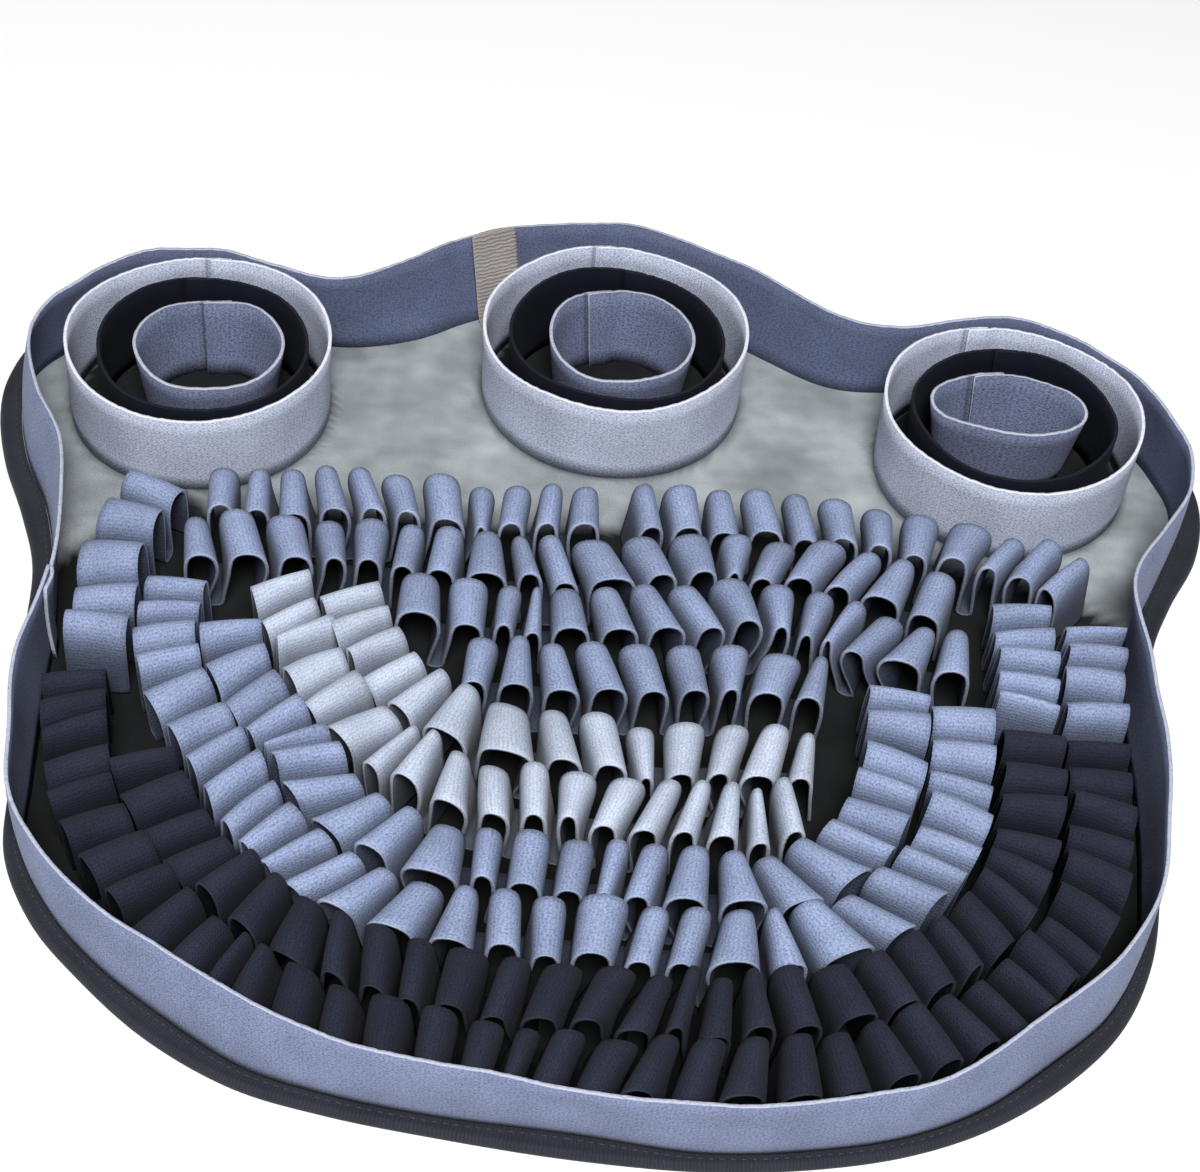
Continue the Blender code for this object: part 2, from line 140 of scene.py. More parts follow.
# Rows of loops. Heights and leans in millimetres; a route holds the bends of the row's middle line.
LoopRow = namedtuple("LoopRow", "name felt loops height lean route")
LOOP_ROWS = (
    LoopRow("loops_blue_back_left", "blue_felt", 11, 37, 4, (
        (-186, 49), (-146, 54), (-100, 56), (-45, 54), (0, 59))),
    LoopRow("loops_blue_second", "blue_felt", 19, 38, 4, (
        (-192, 17), (-160, 20), (-105, 25), (-50, 23), (-5, 25), (30, 31), (65, 36),
        (105, 34), (140, 26), (163, 19))),
    LoopRow("loops_blue_third", "blue_felt", 15, 38, 4, (
        (-92, -8), (-45, -8), (-5, -6), (30, -2), (60, 3),
        (95, 2), (125, -7), (148, -12), (170, -14))),
    LoopRow("loops_blue_fourth", "blue_felt", 9, 38, 5, (
        (-62, -41), (-35, -42), (-5, -41), (40, -37), (75, -35), (104, -39))),
    LoopRow("loops_pale_inner", "white_felt", 14, 37, 5, (
        (-111.5, -4), (-105.7, -16.9), (-99.6, -30.8), (-91.5, -42.7), (-82, -55), (-68, -67), (-46, -77),
        (-18, -82), (25, -84), (65, -81), (100, -81))),
    LoopRow("loops_pale_outer", "white_felt", 18, 37, 5, (
        (-143, -1), (-137, -16), (-129, -31), (-121, -52), (-105.5, -71), (-87, -89.5), (-64, -104),
        (-34, -113), (20, -116), (50, -115.5), (76, -113.5), (92, -110.7))),
    LoopRow("loops_blue_inner_bow", "blue_felt", 25, 37, 5, (
        (-160, -28), (-155, -50), (-140, -73), (-124, -94), (-110, -115),
        (-92, -132), (-66, -144), (-30, -149), (20, -151), (60, -150.5),
        (84, -145), (103, -133.5), (118, -115), (126.5, -92), (131, -66), (131.5, -38))),
    LoopRow("loops_blue_outer_bow", "blue_felt", 31, 37, 5, (
        (-186, -4), (-189, -32), (-182, -60), (-166, -85), (-150, -109),
        (-136, -133), (-114, -153), (-88, -169), (-50, -179), (0, -180.5),
        (55, -181), (84, -175.5), (106, -166), (126, -152), (142, -133), (152.5, -110),
        (158, -84), (160.5, -62), (161, -44))),
    LoopRow("loops_dark_inner_bow", "charcoal_felt", 30, 37, 6, (
        (-183, -111), (-176, -126), (-160, -147), (-141, -167), (-114.4, -186.6), (-81.3, -200.8),
        (-40, -209), (0, -210), (50, -210), (88, -204.5), (116, -195), (141, -179.5),
        (161, -160), (175, -137), (183, -111), (188, -82), (190, -56))),
    LoopRow("loops_dark_outer_bow", "charcoal_felt", 38, 37, 7, (
        (-221, -64), (-215, -100), (-204, -132), (-185, -162), (-158, -189),
        (-124, -212), (-84, -229), (-40, -238), (0, -240), (50, -239.5),
        (92, -234), (126, -222.5), (157, -204), (183, -180), (203, -151),
        (212, -122), (217.5, -88), (219, -58))),
    LoopRow("loops_blue_left_side", "blue_felt", 5, 38, 0, (
        (-204, 59), (-213, 36), (-218, 6), (-217.5, -20), (-216, -57))),
    LoopRow("loops_blue_right_inner_side", "blue_felt", 5, 38, 0, (
        (188.5, -50), (191, -20), (191.5, 21))),
    LoopRow("loops_blue_right_outer_side", "blue_felt", 4, 38, 0, (
        (219.5, -52), (221, -25), (222, 8))),
    LoopRow("loops_blue_back_right", "blue_felt", 12, 37, 4, (
        (8, 60), (50, 67), (96, 66), (140, 59), (180, 52), (206, 44), (221, 32))),
)
INSIDE_SHADE_TONE = 0.55  # painted shade: how light the inside face of a loop is painted, against its outside; the felt is the same
FOOT_SHADE_TONE = 0.22  # painted shade: how light a loop is painted at its foot, against its crown, where its neighbours shade it
SHADED_SHARE = 0.97  # painted shade: how much darker the base cloth is painted between the loops and inside the pots, where they shade it

LOOP_FOOT_SHARE = 0.19  # half of the strip sewn flat between two loops, as a share of a loop's length
LOOP_CLEARANCE = 3.0 * MM  # between two crowns, if their felt is as thick as the solids'
LOOP_SHOULDER = 0.66  # height of the widest place, as a share of the loop's height
LOOP_UNEVEN = 0.20  # how much loops differ in length along the row
LOOP_SLANT = 0.16  # how far crowns sway along the row, as a share of a loop's length
LOOP_TWIST = 0.9 * MM  # how far the two ends of a crown are turned along the row at random
LOOP_LINES = 5

# Points of one loop's side, from the floor up: how far it has come from its foot to its widest place, and
# its height as a share of that place's height
LOOP_SIDE = ((0, 0), (0.05, 0.12), (0.3, 0.38), (0.75, 0.72))
LOOP_ARC_DEG = (0, 28, 56, 90, 124, 152, 180)  # over the crown
LOOP_SQUARE = 0.8  # below 1, a crown is flatter on top than half an ellipse

# Section of the binding: distance in from the outer edge and height, in millimetres, from the floor over
# the rolled edge to the stitched inner part
BINDING_SECTION = (
    (1.0, 0), (0.25, 0.8), (0, 2.3), (0.35, 3.9), (1.1, 5.1), (2.0, 5.5), (3.0, 5.1), (3.9, 4.6),
)
BINDING_END = -0.4 * MM  # from the foot of the border's solid to the inner edge of the binding
BINDING_COLUMNS = 541
STITCH_PITCH = 4.2 * MM
STITCH_LENGTH = 2.9 * MM
STITCH_RADIUS = 0.3 * MM
STITCH_HEIGHT = 4.75 * MM
STITCH_MARGIN = 2.0 * MM  # from the foot of the border to the line of stitches

BASE_INSET = 3.0 * MM  # from the outer edge to the edge of the base cloth, under the binding
BASE_COLUMNS = 241
BASE_ROWS = 91

Fabric = namedtuple("Fabric", "fleck pitch ribs depth fuzz crease sheen edge")
# Weave of each fabric: share of darker flecks, pitch of the weave in millimetres, how ribbed it is,
# how deep the weave, the nap and its soft creases are in millimetres (the creases' depth also sets their
# painted shade), its sheen, and how far its cut edge goes towards white
FABRICS = {
    "base_fleece": Fabric(0.25, 1.6, 0.1, 0.02, 0.3, 9.0, 0.04, 0.2),
    "binding_tape": Fabric(0.25, 1.5, 0.9, 0.12, 0.04, 0.1, 0.05, 0.1),
    "border_felt": Fabric(0.8, 1.7, 0.3, 0.12, 0.14, 0.5, 0.05, 0.35),
    "border_lining": Fabric(0.8, 1.6, 0.3, 0.10, 0.14, 0.5, 0.03, 0.4),
    "pale_felt": Fabric(0.8, 2.0, 0.3, 0.16, 0.14, 0.5, 0.06, 0.7),
    "black_felt": Fabric(0.3, 1.7, 0.2, 0.1, 0.12, 0.4, 0.01, 0.01),
    "denim_felt": Fabric(1.0, 2.0, 0.4, 0.16, 0.14, 0.4, 0.03, 0.45),
    "blue_felt": Fabric(0.7, 1.8, 0.5, 0.16, 0.10, 0.2, 0.04, 0.2),
    "white_felt": Fabric(0.5, 1.7, 0.5, 0.12, 0.10, 0.2, 0.08, 0.3),
    "charcoal_felt": Fabric(0.5, 1.8, 0.4, 0.34, 0.14, 0.2, 0.02, 0.02),
    "webbing": Fabric(0.3, 2.0, 1.0, 0.35, 0.05, 0.1, 0.05, 0.2),
}
FLECK_TONE = 0.45  # colour of the darker flecks, against that of the yarn
HUE_LOW = (0.88, 0.92, 0.94)  # the yarn's red, green and blue vary from here
HUE_RANGE = (0.24, 0.16, 0.12)  # by this much
CUT_FIBRES = (0.86, 0.87, 0.93, 1)  # colour of the loose fibres on a cut edge
CUT_SHADING = 0.85  # how far a cut edge follows the painted shading of its cloth
FELT_GLOSS = 0.12
SHEEN_ROUGHNESS = 0.5

# The photo's view
CAMERA_AZIMUTH_DEG = -1.6
CAMERA_ELEVATION_DEG = 45
CAMERA_ROLL_DEG = 6
CAMERA_DISTANCE = 1.14
CAMERA_TARGET = (3.45, 42.3, 0)  # in millimetres
CAMERA_LENS = 72.72
CAMERA_SENSOR = 36

KEY_LIGHT_PLACE = (0.1, -1.85, 2.85)
FILL_LIGHT_PLACE = (-1.1, -1.2, 1.0)
LIGHT_SIZE = 1.2


def colour(name, description, value):
    return FloatVectorProperty(
        name=name, description=description, default=value, size=3, min=0, max=1, subtype="COLOR"
    )


def length(name, description, value):
    return FloatProperty(
        name=name, description=description, default=value, min=0, unit="LENGTH", precision=4
    )


def power(name, description, value):
    return FloatProperty(name=name, description=description, default=value, min=0, unit="POWER")


class SnuffleMatSettings(bpy.types.PropertyGroup):
    """Sizes and colours of the mat's cloth"""

    felt_thickness: length("Loop felt", "Thickness of the felt strips of the loops", 1.5 * MM)
    ring_thickness: length("Ring felt", "Thickness of the felt of the rings and the border", 1.6 * MM)
    base_thickness: length("Base cloth", "Thickness of the base cloth", 2.0 * MM)
    strip_width: length("Strip width", "Width of the strips that the loops are made from", 26.5 * MM)
    base_wrinkle: length("Base wrinkles", "Height of the soft waves in the base cloth", 1.3 * MM)
    border_wave: length("Border wave", "How far the border's top edge sways", 1.6 * MM)
    loop_skew: length("Loop skew", "How much the two ends of a loop's crown differ along the row", 3.4 * MM)
    loop_sway: length("Loop sway", "How far single crowns lean along their row", 1.6 * MM)
    loop_shift: length("Loop shift", "How far single crowns lean out of their row", 1.6 * MM)
    base_fleece: colour("Base cloth", "Colour of the napped base cloth", (0.31, 0.34, 0.355))
    binding_tape: colour("Binding", "Colour of the edge binding", (0.024, 0.026, 0.034))
    border_felt: colour("Border outside", "Colour of the border's outer side", (0.18, 0.213, 0.335))
    border_lining: colour("Border inside", "Colour of the border's inner side", (0.107, 0.128, 0.212))
    pale_felt: colour("Outer rings", "Colour of the outer rings", (0.475, 0.52, 0.655))
    black_felt: colour("Middle rings", "Colour of the middle rings", (0.0045, 0.0056, 0.0115))
    denim_felt: colour("Inner rings", "Colour of the inner rings", (0.157, 0.183, 0.29))
    blue_felt: colour("Blue loops", "Colour of the blue loops", (0.27, 0.33, 0.505))
    white_felt: colour("Pale loops", "Colour of the pale loops", (0.47, 0.53, 0.66))
    charcoal_felt: colour("Dark loops", "Colour of the charcoal loops", (0.0215, 0.0245, 0.042))
    webbing: colour("Tab", "Colour of the webbing tab", (0.30, 0.275, 0.26))
    thread: colour("Thread", "Colour of the sewing thread", (0.035, 0.037, 0.048))
    floor: colour("Floor", "Colour of the studio floor", (0.88, 0.88, 0.88))
    key_power: power("Key light", "Power of the key light", 150)
    fill_power: power("Fill light", "Power of the fill light", 5)
    sky_strength: FloatProperty(
        name="Sky", description="Strength of the white surroundings", default=0.25, min=0
    )


# Lines on the floor


def smooth_curve(bends, closed):
    """Points on a smooth curve through the bends, each a row of numbers of which x and y come first."""
    count = len(bends)
    if not closed:
        bends = np.vstack([2 * bends[0] - bends[1], bends, 2 * bends[-1] - bends[-2]])
    spans = range(count) if closed else range(1, count)
    points = []
    for i in spans:
        if closed:
            a, b, c, d = (bends[(i + k) % count] for k in (-1, 0, 1, 2))
        else:
            a, b, c, d = bends[i - 1 : i + 3]
        for t in np.arange(CURVE_STEPS) / CURVE_STEPS:
            second = 2 * a - 5 * b + 4 * c - d
            third = 3 * b - a - 3 * c + d
            points.append(b + ((c - a) * t + second * t**2 + third * t**3) / 2)
    points.append(bends[0] if closed else bends[-2])
    return np.array(points)


class Route:
    """A smooth line on the floor, read by the distance along it."""

    def __init__(self, bends, closed=False):
        self.closed = closed
        self.points = smooth_curve(np.asarray(bends, float), closed)
        steps = np.linalg.norm(np.diff(self.points[:, :2], axis=0), axis=1)
        self.distances = np.concatenate([[0], np.cumsum(steps)])
        self.length = self.distances[-1]

    def read(self, distance):
        """Every column of the line at these distances."""
        if self.closed:
            distance = np.mod(distance, self.length)
        columns = [np.interp(distance, self.distances, column) for column in self.points.T]
        return np.stack(columns, axis=-1)

    def right_hand(self, distance):
        """Unit vectors that point to the right of the direction of travel."""
        if not self.closed:
            distance = np.clip(distance, 0, self.length)
        ahead = self.read(distance + CURVE_REACH)[..., :2]
        behind = self.read(distance - CURVE_REACH)[..., :2]
        along = ahead - behind
        along = along / np.linalg.norm(along, axis=-1, keepdims=True)
        return np.stack([along[..., 1], -along[..., 0]], axis=-1)


def outline_route():
    """The outer edge, anticlockwise from the middle of the front. Margin and lean are further columns."""
    right = [(bend.x, bend.y, bend.margin, bend.lean) for bend in OUTLINE]
    left = [(-bend.left_x, bend.left_y, bend.left_margin, bend.left_lean) for bend in OUTLINE[-2:0:-1]]
    route = Route(np.array(right + left) * MM, closed=True)
    low = route.points[:, :2].min(axis=0)
    high = route.points[:, :2].max(axis=0)
    size = np.array([MAT_WIDTH, MAT_DEPTH])
    route.points[:, :2] = (route.points[:, :2] - (low + high) / 2) * size / (high - low)
    return route


def wave(rng, place, lengths):
    """A soft uneven wave from -1 to 1 along a line: one sine for each of these wave lengths."""
    total = np.zeros(len(place))
    for wave_length in lengths:
        size = rng.uniform(0.6, 1)
        total += size * np.sin(place * math.tau / wave_length + rng.uniform(0, math.tau))
    return total / len(lengths)


# Cloth meshes


def cloth_mesh(rows, places, tones, closed=False):
    """A sheet of quads through these rows of points. places holds each point's spot on the flat cloth, in
    metres, and tones how light the cloth is painted, with its random tone and painted shade, in each column
    or at each point."""
    across, along = len(rows) - 1, len(rows[0]) - 1
    tones = np.broadcast_to(tones, (across + 1, along + 1))
    bm = bmesh.new()
    bmesh.ops.create_grid(bm, x_segments=along, y_segments=across, size=1)
    uv = bm.loops.layers.uv.new("UVMap")
    tone = bm.verts.layers.float.new("tone")
    spots = {}
    for vert in bm.verts:
        i = round((vert.co.x + 1) / 2 * along)
        j = round((vert.co.y + 1) / 2 * across)
        spots[vert] = places[j][i]
        vert[tone] = tones[j][i]
        vert.co = rows[j][i]
    for face in bm.faces:
        face.smooth = True
        for loop in face.loops:
            loop[uv].uv = spots[loop.vert]
    if closed:
        bmesh.ops.remove_doubles(bm, verts=bm.verts, dist=0.01 * MM)
    return bm


def finish_piece(bm, name, materials, normals=True):
    """The mesh as an object of the mat, riding on the mat."""
    if normals:
        bmesh.ops.recalc_face_normals(bm, faces=bm.faces)
    mesh = bpy.data.meshes.new(name)
    bm.to_mesh(mesh)
    bm.free()
    for material in materials:
        mesh.materials.append(material)
    piece = bpy.data.objects.new(name, mesh)
    bpy.context.scene.collection.objects.link(piece)
    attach(piece, "root")
    return piece


def stand_for_solid(piece, node):
    """Takes the place and the name of a solid."""
    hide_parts(node)
    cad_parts[node].name = node + "_solid"
    piece.name = node


def thicken(piece, thickness, back=0, smooth=0):
    """Smooths the sheet and gives it its thickness, with the second material on its cut edges."""
    if smooth:
        rounded = piece.modifiers.new("Soft", "SUBSURF")
        rounded.levels = rounded.render_levels = smooth
    solid = piece.modifiers.new("Thickness", "SOLIDIFY")
    solid.thickness = thickness
    solid.offset = 0
    solid.use_even_offset = True
    solid.material_offset_rim = 1
    solid.material_offset = back


def add_stitches(name, starts, ends, radius, material):
    """Short stitches of thread, one from each start to its end."""
    bm = bmesh.new()
    for start, end in zip(starts, ends):
        start, end = Vector(start), Vector(end)
        middle = (start + end) / 2
        turn = (end - start).to_track_quat("X", "Z").to_matrix().to_4x4()
        shape = Matrix.Diagonal(((end - start).length / 2, radius, radius, 1))
        place = Matrix.Translation(middle) @ turn @ shape
        bmesh.ops.create_icosphere(bm, subdivisions=1, radius=1, matrix=place)
    for face in bm.faces:
        face.smooth = True
    return finish_piece(bm, name, [material])


# Fabrics


def shader_group(name, inputs, outputs):
    """An empty shader node group. Inputs are (name, kind, default) and outputs (name, kind)."""
    group = bpy.data.node_groups.new(name, "ShaderNodeTree")
    for socket, kind, default in inputs:
        made = group.interface.new_socket(socket, in_out="INPUT", socket_type=kind)
        made.default_value = default
    for socket, kind in outputs:
        group.interface.new_socket(socket, in_out="OUTPUT", socket_type=kind)
    return group, Wiring(group), group.nodes.new("NodeGroupInput"), group.nodes.new("NodeGroupOutput")


class Wiring:
    """Adds nodes to a tree and links what feeds them."""

    def __init__(self, tree):
        self.tree = tree

    def node(self, kind, feeds=(), **settings):
        """A node with these settings. A feed is a link to the input of that position, or its value."""
        node = self.tree.nodes.new(kind)
        for key, value in settings.items():
            setattr(node, key, value)
        for i, feed in dict(feeds).items():
            if isinstance(feed, bpy.types.NodeSocket):
                self.tree.links.new(feed, node.inputs[i])
            else:
                node.inputs[i].default_value = feed
        return node

    def link(self, feed, node, name):
        self.tree.links.new(feed, node.inputs[name])

    def math(self, operation, a, b=0.0):
        return self.node("ShaderNodeMath", {0: a, 1: b}, operation=operation).outputs[0]

    def vector(self, operation, *feeds):
        """Vector maths on up to three vectors."""
        return self.node("ShaderNodeVectorMath", enumerate(feeds), operation=operation).outputs[0]

    def scaled(self, vector, factor):
        return self.node("ShaderNodeVectorMath", {0: vector, 3: factor}, operation="SCALE").outputs[0]

    def noise(self, place, scale, detail, output="Fac"):
        feeds = {"Vector": place, "Scale": scale, "Detail": detail}
        return self.node("ShaderNodeTexNoise", feeds).outputs[output]

    def attribute(self, name):
        return self.node("ShaderNodeAttribute", attribute_name=name).outputs["Fac"]

    def blend(self, share, a, b):
        """Colour a blended with colour b by this share."""
        feeds = {"Factor": share, "A": a, "B": b}
        node = self.node("ShaderNodeMix", data_type="RGBA", blend_type="MIX")
        sockets = {s.name: s for s in node.inputs if s.type in ("RGBA", "VALUE") and s.enabled}
        for name, feed in feeds.items():
            if isinstance(feed, bpy.types.NodeSocket):
                self.tree.links.new(feed, sockets[name])
            else:
                sockets[name].default_value = feed
        return next(s for s in node.outputs if s.type == "RGBA" and s.enabled)

    def ramp(self, value, low, high, to_low=0.0, to_high=1.0):
        node = self.node("ShaderNodeMapRange", {0: value, 1: low, 2: high, 3: to_low, 4: to_high})
        return node.outputs[0]


COLOUR, NUMBER = "NodeSocketColor", "NodeSocketFloat"


def cloth_group():
    """Woven or felted cloth: heathered yarn, a weave that follows the cloth, nap and soft unevenness, with
    painted shade in the weave's hollows, in the creases and from the tone attribute.
    """
    made = bpy.data.node_groups.get("Woven Felt")
    if made:
        return made
    inputs = (
        ("Yarn", COLOUR, (0.3, 0.35, 0.5, 1)),
        ("Fleck", COLOUR, (0.1, 0.12, 0.2, 1)),
        ("Fleck Share", NUMBER, 0.4),
        ("Pitch", NUMBER, 1.2),
        ("Ribs", NUMBER, 0.3),
        ("Weave Depth", NUMBER, 0.1),
        ("Nap Depth", NUMBER, 0.1),
        ("Crease Depth And Shade", NUMBER, 0.2),
    )
    outputs = (("Color", COLOUR), ("Roughness", NUMBER), ("Height", NUMBER))
    group, wiring, given, result = shader_group("Woven Felt", inputs, outputs)
    yarn, fleck, share, pitch, ribs, depth, nap, crease = given.outputs[:8]

    flat = wiring.node("ShaderNodeUVMap", uv_map="UVMap").outputs[0]
    in_mm = wiring.scaled(flat, 1000.0)
    drift = wiring.scaled(wiring.noise(in_mm, 0.25, 1.0, "Color"), 2.2)
    threads = wiring.vector("ADD", in_mm, drift)
    turned = wiring.scaled(threads, wiring.math("DIVIDE", math.tau, pitch))
    split = wiring.node("ShaderNodeSeparateXYZ", {0: turned}).outputs
    warp = wiring.math("SINE", split[0])
    weft = wiring.math("SINE", split[1])
    plain = wiring.math("MULTIPLY", warp, weft)
    rib_line = wiring.math("MULTIPLY", warp, 0.9)
    ribbed = wiring.math("MULTIPLY", ribs, wiring.math("SUBTRACT", rib_line, plain))
    woven = wiring.math("ADD", plain, ribbed)

    yarns = wiring.noise(wiring.vector("MULTIPLY", in_mm, (0.85, 1.15, 1)), 0.95, 3.0)
    fine = wiring.noise(in_mm, 2.2, 2.0)
    patches = wiring.noise(in_mm, 0.045, 2.0)
    creases = wiring.noise(in_mm, 0.028, 2.0)
    hues = wiring.noise(in_mm, 0.5, 2.0, "Color")

    # the tone attribute carries each piece's random tone and its painted shade
    light = wiring.math("MULTIPLY", wiring.ramp(fine, 0.3, 0.7, 0.86, 1.14), wiring.attribute("tone"))
    light = wiring.math("MULTIPLY", light, wiring.ramp(patches, 0.3, 0.7, 0.88, 1.1))
    # the weave's pattern, partly painted shade: lighter on the raised threads and darker in the hollows of
    # the same weave as its bump
    light = wiring.math("MULTIPLY", light, wiring.ramp(woven, -1.0, 1.0, 0.78, 1.16))
    # painted shade: the colour darkens in the hollows of the soft creases and lightens on their crests
    crease_shade = wiring.math("MULTIPLY", wiring.math("SUBTRACT", creases, 0.5), crease)
    crease_shade = wiring.math("MULTIPLY", crease_shade, 0.15)
    light = wiring.math("MULTIPLY", light, wiring.math("ADD", crease_shade, 1.0))
    flecks = wiring.math("MULTIPLY", wiring.ramp(yarns, 0.44, 0.66), share)
    hues = wiring.vector("MULTIPLY_ADD", hues, HUE_RANGE, HUE_LOW)
    mixed = wiring.vector("MULTIPLY", wiring.blend(flecks, yarn, fleck), hues)
    wiring.link(wiring.scaled(mixed, light), result, "Color")
    wiring.link(wiring.ramp(fine, 0.3, 0.7, 0.86, 1.0), result, "Roughness")

    raised = wiring.math("MULTIPLY", woven, wiring.math("MULTIPLY", depth, MM / 2))
    fluffed = wiring.math("MULTIPLY", wiring.math("ADD", fine, yarns), wiring.math("MULTIPLY", nap, MM))
    folds = wiring.math("MULTIPLY", creases, wiring.math("MULTIPLY", crease, MM))
    surface = wiring.math("ADD", wiring.math("ADD", raised, fluffed), folds)
    wiring.link(surface, result, "Height")
    return group


def edge_group():
    """The raw edge of cut felt: pale broken fibres over the yarn's own colour, darkened by part of the
    cloth's painted shade.
    """
    made = bpy.data.node_groups.get("Cut Edge")
    if made:
        return made
    inputs = (
        ("Yarn", COLOUR, (0.3, 0.35, 0.5, 1)),
        ("Whiteness", NUMBER, 0.5),
        ("Shading", NUMBER, 0.0),
    )
    outputs = (("Color", COLOUR), ("Roughness", NUMBER), ("Height", NUMBER))
    group, wiring, given, result = shader_group("Cut Edge", inputs, outputs)
    yarn, whiteness, shading = given.outputs[:3]
    place = wiring.node("ShaderNodeTexCoord").outputs["Object"]
    fibres = wiring.noise(place, 700.0, 3.0)
    share = wiring.math("MULTIPLY", wiring.ramp(fibres, 0.28, 0.52, 0.45, 1.0), whiteness)
    # painted shade: the cut edge follows the tone attribute by this share
    darker = wiring.math("SUBTRACT", wiring.attribute("tone"), 1.0)
    light = wiring.math("ADD", 1.0, wiring.math("MULTIPLY", shading, darker))
    pale = wiring.blend(share, yarn, CUT_FIBRES)
    wiring.link(wiring.scaled(pale, light), result, "Color")
    wiring.link(wiring.ramp(fibres, 0.3, 0.7, 0.9, 1.0), result, "Roughness")
    wiring.link(wiring.math("MULTIPLY", fibres, 0.5 * MM), result, "Height")
    return group


def new_material(name, group, values, sheen):
    """A fabric whose colour, roughness and bump come from a node group with these values."""
    material = bpy.data.materials.get(name)
    if material:
        return material
    material = bpy.data.materials.new(name)
    material.use_nodes = True
    wiring = Wiring(material.node_tree)
    shader = material.node_tree.nodes["Principled BSDF"]
    shader.inputs["Sheen Weight"].default_value = sheen
    shader.inputs["Sheen Roughness"].default_value = SHEEN_ROUGHNESS
    shader.inputs["Specular IOR Level"].default_value = FELT_GLOSS
    cloth = wiring.node("ShaderNodeGroup", node_tree=group)
    for key, value in values.items():
        cloth.inputs[key].default_value = value
    feeds = {"Height": cloth.outputs["Height"], "Strength": 1.0, "Distance": 1.0}
    bump = wiring.node("ShaderNodeBump", feeds)
    wiring.link(cloth.outputs["Color"], shader, "Base Color")
    wiring.link(cloth.outputs["Roughness"], shader, "Roughness")
    wiring.link(bump.outputs[0], shader, "Normal")
    return material


def fabric(name, settings, inside=False):
    """The fabric's face, its cut edge and, where asked for, a darker copy of the face for the inside of a
    loop, as painted shade.
    """
    yarn = Vector(getattr(settings, name))
    kind = FABRICS[name]
    face = {
        "Yarn": (*yarn, 1),
        "Fleck": (*(yarn * FLECK_TONE), 1),
        "Fleck Share": kind.fleck,
        "Pitch": kind.pitch,
        "Ribs": kind.ribs,
        "Weave Depth": kind.depth,
        "Nap Depth": kind.fuzz,
        "Crease Depth And Shade": kind.crease,
    }
    edge = {"Yarn": (*yarn, 1), "Whiteness": kind.edge, "Shading": CUT_SHADING}
    made = [
        new_material(name + "_face", cloth_group(), face, kind.sheen),
        new_material(name + "_cut", edge_group(), edge, kind.sheen),
    ]
    if inside:
        # painted shade: the inside of a loop is the same felt, painted darker
        shaded = yarn * INSIDE_SHADE_TONE
        face.update({"Yarn": (*shaded, 1), "Fleck": (*(shaded * FLECK_TONE), 1)})
        made.append(new_material(name + "_inside", cloth_group(), face, 0.0))
    return made


def thread_material(settings):
    values = {"Yarn": (*settings.thread, 1), "Whiteness": 0.02}
    return new_material("sewing_thread", edge_group(), values, 0.0)


# Base cloth, binding, border and tab


def cloth_waves(x, y):
    """Height of the base cloth's soft waves at a place, from 0 to 1."""
    wide = np.sin(x * 31 + 2.1 * np.sin(y * 17)) * np.sin(y * 27 + 1.3 * np.sin(x * 13) + 0.8)
    small = np.sin(x * 73 - y * 41 + 1.7 * np.sin(y * 29))
    return np.clip(0.5 + 0.36 * wide + 0.14 * small, 0, 1)


def painted_cloth_shade(x, y):
    """How light the base cloth is painted at a place: painted shade makes it darker between the loops and
    inside the pots.
    """
    rows = np.vstack([Route(np.array(row.route) * MM + (AXIS_X, 0)).points for row in LOOP_ROWS])
    gaps = np.hypot(x[:, None] - rows[:, 0], y[:, None] - rows[:, 1])
    reach = np.interp(y, (10 * MM, 55 * MM), (48 * MM, 23 * MM))
    inside = np.clip((reach - gaps.min(axis=1)) / (8 * MM), 0, 1)
    for ring in RINGS:
        across = (x - AXIS_X - ring.x * MM) / (ring.half_x * MM)
        deep = (y - ring.y * MM) / (ring.half_y * MM)
        inside = np.maximum(inside, np.clip((1.04 - np.hypot(across, deep)) / 0.08, 0, 1))
    return 1 - SHADED_SHARE * inside


def add_base_cloth(settings):
    edge = outline_route()
    columns = np.linspace(0, edge.length, BASE_COLUMNS)
    rim = edge.read(columns)[:, :2] - edge.right_hand(columns) * BASE_INSET
    level = SEAT - settings.base_thickness / 2 - 0.6 * MM
    rows, places, tones = [], [], []
    for share in np.linspace(0, 1, BASE_ROWS):
        x, y = (rim * share).T
        # painted shade between the loops and inside the pots
        tones.append(painted_cloth_shade(x, y))
        rows.append(np.column_stack([x, y, level + settings.base_wrinkle * cloth_waves(x, y)]))
        places.append(np.column_stack([x, y]))
    bm = cloth_mesh(rows, places, np.array(tones), closed=True)
    piece = finish_piece(bm, "cloth", fabric("base_fleece", settings))
    thicken(piece, settings.base_thickness)
    stand_for_solid(piece, "base_cloth")
    x, y = rim.T


